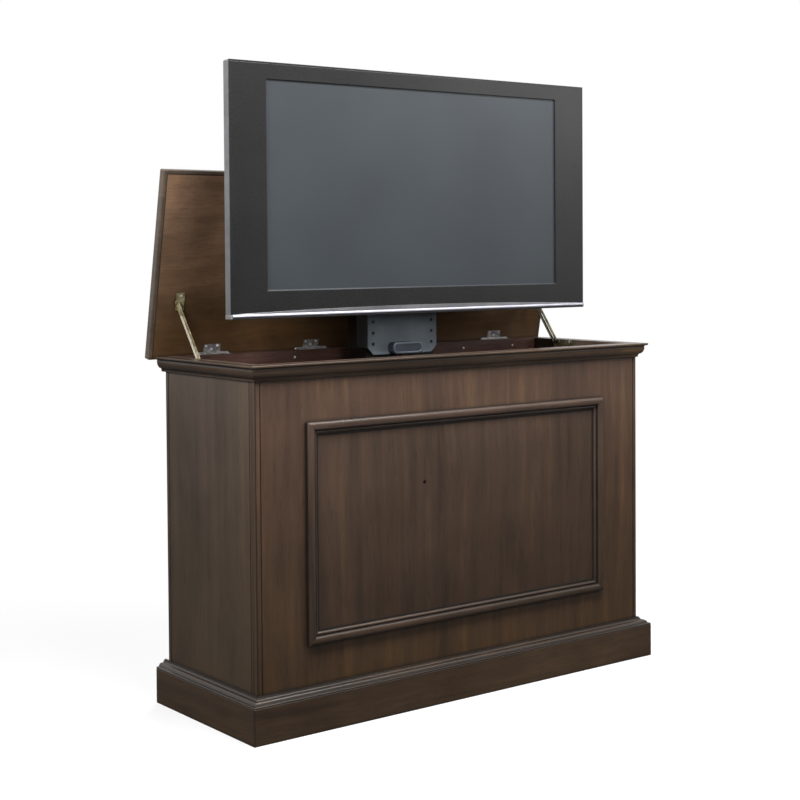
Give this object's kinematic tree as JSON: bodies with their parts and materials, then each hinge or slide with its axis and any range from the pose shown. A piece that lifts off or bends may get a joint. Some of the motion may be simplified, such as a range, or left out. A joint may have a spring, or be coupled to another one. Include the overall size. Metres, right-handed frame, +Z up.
{
  "type": "tv lift cabinet",
  "caption": "Dark wood sideboard with a framed front panel, a hinged lid on brass stays and a powered lift inside that raises a flat television through the top.",
  "frame": {"origin": "middle of the carcass in plan, on the floor, at the underside of the bottom panel", "axes": "+X to the right seen from the front, +Y to the back, +Z up; the framed panel faces -Y"},
  "size_m": [1.286, 0.4767, 1.552],
  "materials": {
    "front_wood": "dark stained veneer, satin lacquer",
    "side_wood": "dark stained veneer, satin lacquer",
    "moulding_wood": "dark stained solid wood, satin lacquer",
    "lid_wood": "stained wood, satin lacquer",
    "carcass_board": "stained board",
    "hinge_steel": "nickel plated",
    "stay_brass": "antique",
    "screw_steel": "nickel plated",
    "lift_steel": "slate grey powder coat",
    "lift_alloy": "drawn, satin",
    "rod_steel": "ground and plated",
    "motor_black": "black paint",
    "belt_rubber": "matt",
    "pulley_plastic": "moulded",
    "black_plastic": "fine moulded texture",
    "eye_plastic": "smoked",
    "tv_charcoal": "satin charcoal",
    "tv_silver": "silver paint",
    "tv_screen": "anti-glare",
    "tv_rear": "fine moulded texture"
  },
  "bodies": {
    "cabinet": {"bottom_panel": "carcass_board", "side_panel_left": "side_wood", "side_panel_right": "side_wood", "front_panel": "front_wood", "back_panel": "carcass_board", "rear_rail": "moulding_wood", "ir_eye": "eye_plastic", "crown_front": "moulding_wood", "crown_left": "moulding_wood", "crown_right": "moulding_wood", "crown_back": "moulding_wood", "base_moulding_front": "moulding_wood", "base_moulding_left": "moulding_wood", "base_moulding_right": "moulding_wood", "plinth_front": "moulding_wood", "plinth_left": "moulding_wood", "plinth_right": "moulding_wood", "plinth_back": "moulding_wood", "panel_moulding_top": "moulding_wood", "panel_moulding_bottom": "moulding_wood", "panel_moulding_left": "moulding_wood", "panel_moulding_right": "moulding_wood", "cable_grommet": "black_plastic", "mains_inlet": "black_plastic", "hinge_rail_leaves": "hinge_steel", "hinge_pins": "hinge_steel", "wood_screws": "screw_steel", "stay_brackets": "stay_brass", "lift_base": "lift_steel", "mast": "lift_steel", "mast_brace": "lift_steel", "gearbox": "motor_black", "drive_motor": "motor_black", "actuator_tube": "lift_alloy", "control_box": "black_plastic", "mast_belt_clamp": "lift_alloy"},
    "middle": {"middle_stage": "lift_steel", "pulley_axles": "rod_steel", "drive_belt": "belt_rubber", "actuator_rod": "rod_steel"},
    "pulley_upper": {"belt_pulley_upper": "pulley_plastic"},
    "pulley_lower": {"belt_pulley_lower": "pulley_plastic"},
    "carriage": {"mount_plate": "lift_steel", "carriage_channel": "lift_steel", "carriage_belt_clamp": "lift_alloy", "carriage_cover": "black_plastic", "tv_rails": "lift_steel", "tv_bolts": "screw_steel", "tv_front_frame": "tv_charcoal", "tv_edge_band": "tv_silver", "tv_lower_trim": "tv_silver", "tv_screen": "tv_screen", "tv_rear_cover": "tv_rear"},
    "lid": {"lid_panel": "lid_wood", "hinge_lid_leaves": "hinge_steel", "lid_screws": "screw_steel", "stay_lid_brackets": "stay_brass"},
    "stay_left": {"stay_bar_left": "stay_brass"},
    "stay_right": {"stay_bar_right": "stay_brass"},
    "switch": {"power_switch": "black_plastic"}
  },
  "joints": [
    {"name": "lift", "type": "slide", "parent": "cabinet", "child": "carriage", "axis": [0, 0, 1], "range_m": [-0.81, 0]},
    {"name": "middle_slide", "type": "slide", "parent": "cabinet", "child": "middle", "axis": [0, 0, 1], "range_m": [-0.405, 0]},
    {"name": "lid_hinge", "type": "hinge", "parent": "cabinet", "child": "lid", "pos_m": [0, 0.2224, 0.8505], "axis": [1, 0, 0], "range_deg": [0, 51.5]},
    {"name": "stay_left_pivot", "type": "hinge", "parent": "lid", "child": "stay_left", "pos_m": [-0.5825, 0.18785, 0.98107], "axis": [1, 0, 0], "range_deg": [-25.75, 0]},
    {"name": "stay_right_pivot", "type": "hinge", "parent": "lid", "child": "stay_right", "pos_m": [0.5825, 0.18785, 0.98107], "axis": [1, 0, 0], "range_deg": [-25.75, 0]},
    {"name": "pulley_upper_spin", "type": "hinge", "parent": "middle", "child": "pulley_upper", "pos_m": [0, 0.06525, 1.105], "axis": [1, 0, 0], "range_deg": [0, 2053.6]},
    {"name": "pulley_lower_spin", "type": "hinge", "parent": "middle", "child": "pulley_lower", "pos_m": [0, 0.06525, 0.451], "axis": [1, 0, 0], "range_deg": [0, 2053.6]},
    {"name": "power_rocker", "type": "hinge", "parent": "cabinet", "child": "switch", "pos_m": [0.42, 0.201, 0.15], "axis": [1, 0, 0], "range_deg": [0, 12]}
  ],
  "couplings": [
    {"joint": "middle_slide", "follows": "lift", "ratio": 0.5},
    {"joint": "lid_hinge", "follows": "lift", "rad_per_m": -1.1097},
    {"joint": "stay_left_pivot", "follows": "lift", "rad_per_m": 0.55483},
    {"joint": "stay_right_pivot", "follows": "lift", "rad_per_m": 0.55483},
    {"joint": "pulley_upper_spin", "follows": "lift", "rad_per_m": -44.248},
    {"joint": "pulley_lower_spin", "follows": "lift", "rad_per_m": -44.248}
  ]
}
